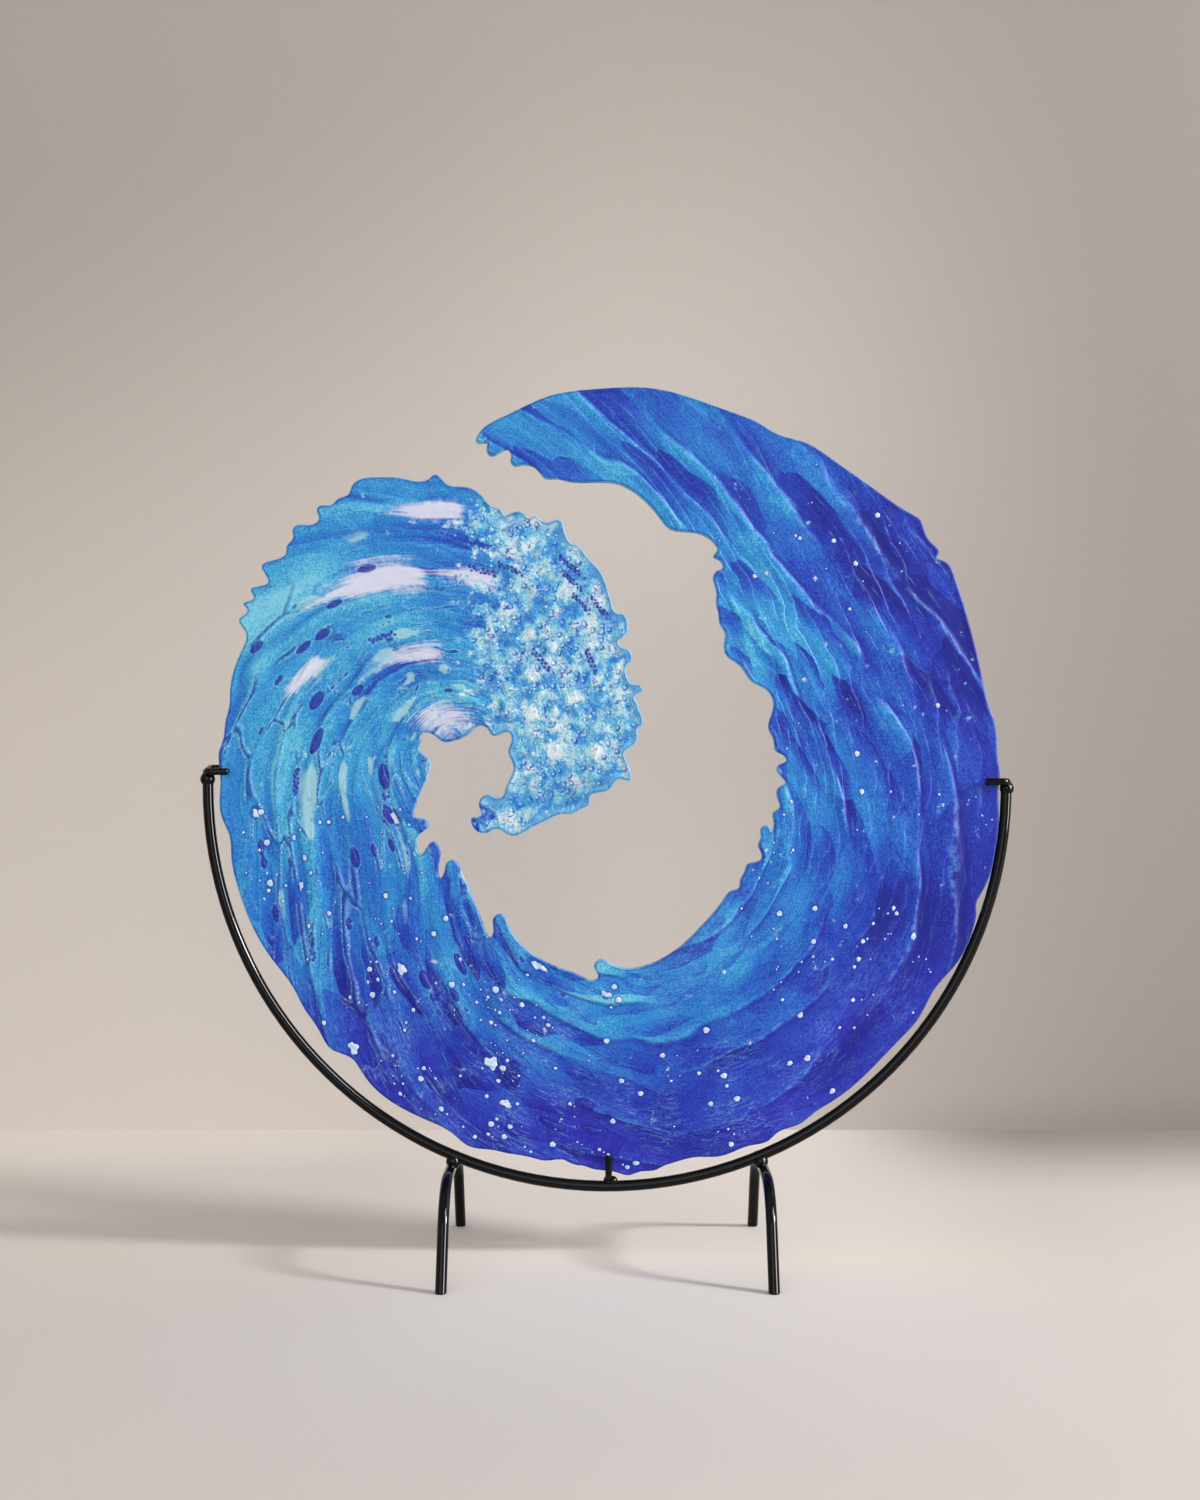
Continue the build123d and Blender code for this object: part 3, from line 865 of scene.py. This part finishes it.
class FusedGlass(Nodes):
    """Satin fused glass, layer by layer. The layers share noises and the counts of the strokes."""

    def __init__(self):
        super().__init__("fused_glass")
        self.fine = self.place()
        self.grain = self.noise(self.fine, 900, 3, 0.75)
        self.mottle = self.noise(self.fine, 230, 3, 0.6)
        self.stroke = self.noise(self.place((24, 190, 1), "flow"), 1, 4, 0.6, 0.5)
        self.wrinkle = self.noise(self.place((70, 420, 1), "flow"), 1, 3, 0.6, 1.2)
        self.patch = self.noise(self.fine, 62, 2, 0.55)
        self.small_patch = self.noise(self.fine, 165, 2)
        self.edge_mm = self.value("edge_mm")
        self.vein = self.value("vein")
        left = self.value("left")
        calm = self.value("calm")
        self.lively = self.faded(self.math("MAXIMUM", calm, self.times(left, 0.8)), 0.68)
        self.patterned = self.times(self.faded(calm, 0.68), self.faded(self.value("share"), 0.75))
        self.press = self.times(self.value("press"), self.faded(left, 0.45))
        self.small_press = self.value("fine_press")
        self.turn = self.math("FRACT", self.value("broad"))
        self.small_turn = self.math("FRACT", self.value("fine"))
        self.rise = self.times(self.turn, self.step(self.turn, 1.0, 0.88))
        self.small_rise = self.times(self.small_turn, self.step(self.small_turn, 1.0, 0.88))
        self.open_vein = self.times(self.patches(self.fine, 45, 0.40, 0.52), left)
        self.dark_vein = self.times(self.step(self.vein, 0.95, 0.35), self.open_vein)
        self.clouds = self.front_cells(self.swayed(self.fine, 120, 0.009), 82)
        self.tone = self.wedge_tone(self.stroke_tone())

    def stroke_tone(self):
        """Strokes rise in tone and then drop, under brush marks, mottle and grain."""
        rising = self.times(self.scaled(self.rise, 0.40, -0.18), self.press)
        small_rising = self.times(self.scaled(self.small_rise, 0.12, -0.05), self.small_press, self.lively)
        brushed = self.times(self.centred(self.stroke, 0.28), self.lively)
        return self.plus(self.value("tone"), rising, small_rising, brushed, self.centred(self.mottle, 0.26),
                         self.centred(self.grain, 1.10))

    def wedge_tone(self, tone):
        """Wedges: leaf-shaped strokes that are dark along one side and fade along their length."""
        along, across, _, kind, other_kind = self.plane_cells(self.place((0.92, 0.82, 1), "leaf"))
        shade = self.times(self.step(across, -0.35, 0.50), self.step(along, 0.65, -0.35),
                           self.step(kind, 0.15, 0.6), self.patterned)
        kind_tone = self.times(self.scaled(other_kind, 0.20, -0.09), self.patterned)
        return self.plus(self.scaled(shade, -0.40, tone), kind_tone)

    def strokes(self):
        """Colour by tone, with a painted shadow after each stroke's drop, a painted highlight on the lip
        before it, and streaks.
        """
        colour = self.mix(self.value("violet"), self.ramp(self.tone, glass_blues),
                          self.ramp(self.tone, glass_violets))
        # painted shadow: darker blue just past each stroke's drop, as if the drop shaded it
        colour = self.over(colour, "#14248C", self.step(self.turn, 0.11, 0.0), self.press, 0.42)
        faint = self.step(self.mottle, 0.40, 0.62)
        # painted highlight: a light lip on the crest just before each stroke's drop
        lip_highlight = self.within(self.turn, (0.84, 0.90, 0.92, 0.96))
        colour = self.over(colour, "#70BCE2", lip_highlight, self.press, faint, 0.30)
        streak = self.step(self.noise(self.place((55, 620, 1), "flow"), 1, 2, 0.5, 0.3), 0.62, 0.72)
        colour = self.over(colour, "#7CC0EA", streak, self.step(self.grain, 0.36, 0.56), self.lively, 0.40)
        # painted highlight: a fainter light lip before each fine stroke's drop
        lip_highlight = self.within(self.small_turn, (0.74, 0.86, 0.90, 0.96))
        return self.over(colour, "#66B2DE", lip_highlight, self.small_press, faint, self.lively, 0.15)

    def wrinkles(self, colour):
        """Fine light folds along the bottom, in patches."""
        fold = self.within(self.wrinkle, (0.47, 0.50, 0.50, 0.53))
        patches = self.patches(self.fine, 34, 0.44, 0.56)
        return self.over(colour, "#78A8E4", fold, self.value("low"), patches, 0.60)

    def veins(self, colour):
        """Dark lines between leaf shapes on the left, with light beads beside them."""
        dots = self.step(self.cells(self.fine, 520), 0.34, 0.22)
        beside = self.within(self.vein, (0.7, 1.1, 1.5, 2.2))
        colour = self.over(colour, "#9FD6EC", beside, self.open_vein, self.scaled(dots, 0.7, 0.24))
        return self.over(colour, "#1B3296", self.dark_vein, 0.72)

    def leaves(self, colour):
        """Pale ragged leaves on the left."""
        pale = self.plus(self.value("pale"), self.centred(self.stroke, 1.1), self.centred(self.mottle, 0.5))
        return self.over(colour, "#AEDCE0", self.step(pale, 0.25, 0.95, 0, 0.68))

    def sweeps(self, colour):
        """Sweeps of lilac white in the head, feathered along the flow."""
        sweep = self.value("sweep")
        wisps = self.noise(self.place((15, 290, 1), "flow"), 1, 3, 0.6, 0.4)
        feathers = self.plus(self.centred(wisps, 2.4), self.centred(self.mottle, 0.8))
        white = self.scaled(sweep, 1.35, self.times(feathers, self.step(sweep, 0.02, 0.15)))
        return self.over(colour, "#DCDDF0", self.step(white, 0.25, 1.05, 0, 0.92))

    def froth(self):
        """Pale clouds of foam, under patches, mottle and grain."""
        _, _, size, kind, _ = self.clouds
        pale_middle = self.times(self.step(size, 0.56, 0.10), self.step(kind, 0.25, 0.85))
        froth = self.plus(self.scaled(pale_middle, 0.42, 0.45), self.centred(self.patch, 1.7),
                          self.centred(self.small_patch, 1.0), self.centred(self.mottle, 1.0),
                          self.centred(self.grain, 1.6))
        return self.ramp(froth, foam_tones)

    def foam_painted_shade_and_blots(self, foam):
        """A painted shade: a blue crescent on the lower right of each cloud, as if lit from the upper left;
        and small blue blotches in patches.
        """
        lean, rise, *_ = self.clouds
        speckled = self.step(self.grain, 0.62, 0.42, 0.35, 1.0)
        # painted shade: the side of each cloud away from an upper-left light
        side = self.scaled(lean, 0.85, self.times(rise, -0.65))
        crescent = self.step(self.plus(side, self.centred(self.small_patch, 0.9)), 0.16, 0.34)
        foam = self.over(foam, "#2C74CC", crescent, self.step(self.patch, 0.60, 0.46), speckled, 0.80)
        blots = self.step(self.noise(self.swayed(self.fine, 300, 0.004), 260, 2, 0.6), 0.56, 0.61)
        return self.over(foam, "#2C70CA", blots, self.patches(self.fine, 70, 0.43, 0.55), speckled, 0.80)

    def foam_rings(self, foam):
        """Clusters of small blue rings, with painted shade on their lower right, and a pale middle."""
        lean, rise, size, kind, _ = self.front_cells(self.swayed(self.fine, 300, 0.0034), 215)
        cluster = self.times(self.patches(self.fine, 100, 0.46, 0.54), self.step(kind, 0.25, 0.35))
        ring = self.times(self.step(size, 0.12, 0.24), self.step(size, 0.46, 0.36), cluster)
        side = self.scaled(lean, 0.8, self.times(rise, -0.6))
        foam = self.over(foam, "#3C8AD6", ring, 0.50)
        # painted shade: each ring darker on its lower right
        foam = self.over(foam, "#1C4CB8", ring, self.step(side, -0.16, 0.12), 0.80)
        return self.over(foam, "#CFE4F0", self.step(size, 0.16, 0.06), cluster, 0.55)

    def foam_tips(self, foam):
        """The foam turns blue towards the edge of the glass."""
        tips = self.plus(self.edge_mm, self.centred(self.patch, 12.0))
        return self.over(foam, "#64B0E2", self.step(tips, 4.5, 1.2, 0, 0.7))

    def foam_cover(self):
        """How much of the glass is under foam, with a ragged border."""
        return self.step(self.plus(self.value("foam"), self.centred(self.mottle, 1.3),
                                   self.centred(self.small_patch, 1.4)), 0.36, 0.62)

    def drop_surrounds(self, colour):
        """A dark surround under white drops, and a dark one with a light halo round navy ones."""
        colour = self.over(colour, "#182CA0", self.step(self.value("white_mm"), 1.5, 0.0, 0, 0.6))
        navy = self.value("navy_mm")
        speckled = self.step(self.cells(self.fine, 420), 0.50, 0.25, 0.2, 1.0)
        colour = self.over(colour, "#8CC8E6", self.within(navy, (0.7, 1.1, 1.3, 1.9)), speckled,
                           self.step(self.tone, 0.15, 0.6, 0.0, 0.55))
        return self.over(colour, "#16249C", self.step(navy, 1.1, -0.1, 0, 0.85))

    def edge(self, colour):
        """A painted highlight along the rim, and a thin darker line inside it."""
        colour = self.over(colour, "#1C3898", self.within(self.edge_mm, (0.6, 0.9, 1.1, 1.7)), 0.50)
        # painted highlight: the rim paler within a millimetre of the edge
        return self.over(colour, "#86BCDC", self.step(self.edge_mm, 0.8, 0.3),
                         self.step(self.tone, 0.35, 0.65, 0.12, 0.6))

    def normal(self, cover):
        """Fine relief of strokes, wrinkles, veins and foam, with a grain over all."""
        height = self.plus(self.scaled(self.stroke, 0.5, self.times(self.wrinkle, 0.35)),
                           self.times(self.rise, self.press, 0.7),
                           self.times(self.small_rise, self.small_press, 0.35),
                           self.times(self.dark_vein, 0.6), self.times(self.clouds[2], cover, -0.45))
        return self.bump(self.grain, 0.0002, 0.5, Normal=self.bump(height, 0.0011, 0.6))


def fused_glass():
    """Satin fused glass: rising strokes of blue, veins, wrinkles, foam, fine speckle, painted shade and
    painted highlights on the strokes and the pale rim.
    """
    made = FusedGlass()
    colour = made.strokes()
    for layer in (made.wrinkles, made.veins, made.leaves, made.sweeps):
        colour = layer(colour)
    foam = made.froth()
    for layer in (made.foam_painted_shade_and_blots, made.foam_rings, made.foam_tips):
        foam = layer(foam)
    cover = made.foam_cover()
    colour = made.edge(made.drop_surrounds(made.mix(cover, colour, foam)))
    made.shader(Base_Color=colour, Roughness=made.step(made.mottle, 0.3, 0.7, 0.36, 0.48), IOR=1.5,
                Normal=made.normal(cover), Specular_IOR_Level=0.18, Coat_Weight=0.02, Coat_Roughness=0.25)
    return made.material


def drop_glass(name, shade, light, patchy):
    """Glossy glass of a fused drop: one colour with a lighter mottle and tiny seeds."""
    made = Nodes(name)
    fine = made.place()
    mottle = made.noise(fine, 420, 3, 0.6)
    colour = made.over(linear(shade), light, made.step(mottle, 0.5 - patchy, 0.5 + patchy))
    colour = made.over(colour, light, made.step(made.cells(fine, 900), 0.30, 0.15), 0.2)
    made.shader(Base_Color=colour, Roughness=made.step(mottle, 0.3, 0.7, 0.30, 0.42), IOR=1.5,
                Normal=made.bump(mottle, 0.00015, 0.5), Specular_IOR_Level=0.35, Coat_Weight=0.08,
                Coat_Roughness=0.2)
    return made.material


def black_coat():
    """Satin black powder coat: fine orange-peel bumps and a slight change of shine."""
    made = Nodes("black_coat")
    fine = made.place()
    peel = made.noise(fine, 1400, 2)
    cloudy = made.noise(fine, 60, 3, 0.6)
    colour = made.ramp(cloudy, [(0.3, "#020202"), (0.7, "#060504")])
    made.shader(Base_Color=colour, Roughness=made.step(cloudy, 0.3, 0.7, 0.05, 0.08), IOR=1.5,
                Normal=made.bump(peel, 0.00001, 0.4), Specular_IOR_Level=0.20)
    return made.material


def floor_with_painted_light():
    """Pale warm matt floor with painted light: a painted pool of light behind the sculpture, darker far off
    on the right.

    Near the wall painted light makes it paler on the left, and painted soft shade darkens it on the right.
    """
    made = Nodes("pale_floor")
    where = made.place()
    across, deep, _ = made.parts(where)
    colour = made.ramp(made.noise(where, 2.5, 2), [(0.3, "#D3CCC6"), (0.7, "#D8D1CB")])
    colour = made.over(colour, "#BDB5AE", made.noise(where, 240, 3, 0.7), 0.10)
    # painted pool of light on the floor behind the sculpture
    colour = made.over(colour, "#F2EAE2", made.step(deep, -0.32, 0.10),
                       made.step(across, -0.20, -0.04, 0.28, 1.0), made.step(across, 0.30, 0.10), 0.85)
    colour = made.over(colour, "#948D87", made.step(across, 0.7, 1.9, 0, 0.85))
    # painted light: paler near the wall on the left
    colour = made.over(colour, "#F2EAE2", made.step(deep, 0.20, 0.30), made.step(across, -0.05, -0.25), 0.45)
    # painted shade: darker near the wall on the right, where floor meets wall
    colour = made.over(colour, "#98918B", made.step(deep, 0.13, wall_depth), made.step(across, 0.15, 0.34))
    made.shader(Base_Color=colour, Roughness=0.85, IOR=1.4, Specular_IOR_Level=0.25)
    return made.material


def wall_with_painted_light():
    """Warm grey plaster, clear from behind, with painted light.

    Broad soft zones of painted shade make it darker towards the top left and the right, and along its foot on
    the right; a painted pool of light makes it paler low on the left.
    """
    made = Nodes("plaster_wall")
    where = made.place()
    across, _, up = made.parts(where)
    grain = made.noise(where, 300, 3, 0.7)
    painted_light_low_left = made.step(made.scaled(up, -0.35, across), 0.25, -0.25)
    right = made.step(made.scaled(up, 0.10, across), 0.0, 0.52)
    high = made.step(made.scaled(across, -0.35, up), 0.42, 0.92)
    colour = made.over(linear("#D2C9C1"), "#B8AFA7", grain, 0.07)
    # painted light: paler low on the left
    colour = made.over(colour, "#D9D1C9", made.step(up, 0.42, 0.0), painted_light_low_left)
    # painted shade: darker towards the right
    colour = made.over(colour, "#8A847F", right, 0.92)
    # painted shade: darker towards the top left
    colour = made.over(colour, "#948C86", high, 0.66)
    # painted shade: darker along the wall's foot on the right
    colour = made.over(colour, "#000000", made.step(up, 0.035, 0.0), made.step(across, 0.15, 0.34), 0.10)
    plaster = made.shader(Base_Color=colour, Roughness=0.9, Normal=made.bump(grain, 0.0004, 0.4),
                          Specular_IOR_Level=0.3)
    behind = made.add("ShaderNodeNewGeometry", {})["Backfacing"]
    clear = made.add("ShaderNodeBsdfTransparent", {})[0]
    made.show(made.add("ShaderNodeMixShader", {0: behind, 1: plaster, 2: clear})[0])
    return made.material


# Stage, light and camera

def placed(name, data):
    """A new object of the scene."""
    piece = bpy.data.objects.new(name, data)
    bpy.context.scene.collection.objects.link(piece)
    return piece


def stage_plane(name, corners, material):
    """A flat four-cornered piece of the room."""
    mesh = bpy.data.meshes.new(name)
    mesh.from_pydata(corners, [], [(0, 1, 2, 3)])
    mesh.update()
    mesh.materials.append(material)
    placed(name, mesh)


def room():
    """A floor that runs to a wall close behind the sculpture."""
    far = 3.0
    back = wall_depth
    stage_plane("floor", [(-far, -far, 0), (far, -far, 0), (far, back, 0), (-far, back, 0)], floor_with_painted_light())
    stage_plane("wall", [(-far, back, 0), (far, back, 0), (far, back, far), (-far, back, far)], wall_with_painted_light())


def area_light(name, place, target, size, power):
    """A round lamp at its place, aimed at the target."""
    lamp = bpy.data.lights.new(name, "AREA")
    lamp.shape = "DISK"
    lamp.size = size
    lamp.energy = power
    piece = placed(name, lamp)
    piece.location = place
    piece.rotation_euler = (Vector(target) - Vector(place)).to_track_quat("-Z", "Y").to_euler()
    return piece


def lights():
    """A soft key low on the right and a little in front, a broad fill from the front, and an even room.

    A tall strip on the right, seen in reflections alone, draws the thin highlights along the bars.
    """
    area_light("key", *key_lamp)
    strip = area_light("strip", *strip_lamp)
    strip.data.shape = "RECTANGLE"
    strip.data.size_y = strip_length
    strip.visible_diffuse = False
    area_light("fill", *fill_lamp)
    world = bpy.data.worlds.new("room_light")
    world.use_nodes = True
    background = world.node_tree.nodes["Background"]
    background.inputs["Color"].default_value = room_tint
    background.inputs["Strength"].default_value = room_strength
    bpy.context.scene.world = world


def camera():
    """A level camera in front."""
    lens = bpy.data.cameras.new("camera")
    lens.lens = camera_lens
    lens.sensor_width = 36
    piece = placed("camera", lens)
    piece.location = camera_place
    piece.rotation_euler = (math.radians(90), 0, 0)
    bpy.context.scene.camera = piece


bpy.context.scene.view_settings.view_transform = "Standard"
camera()
lights()
room()
wave, drops = glass_wave()
wave.data.materials.append(fused_glass())
white_glass = drop_glass("white_drop", "#A6C8EE", "#E4ECFA", 0.15)
navy_glass = drop_glass("navy_drop", "#14169A", "#2438B4", 0.16)
bead_glass = drop_glass("foam_bead", "#7EBCE4", "#BCDDEE", 0.1)
for name, finish in (("white_drops", white_glass), ("white_splashes", white_glass),
                     ("navy_drops", navy_glass), ("navy_rows", navy_glass), ("foam_beads", bead_glass)):
    drops[name].data.materials.append(finish)
coat = black_coat()
for name, node in nodes.items():
    if name != "glass_wave_panel":
        node.material_slots[0].material = coat
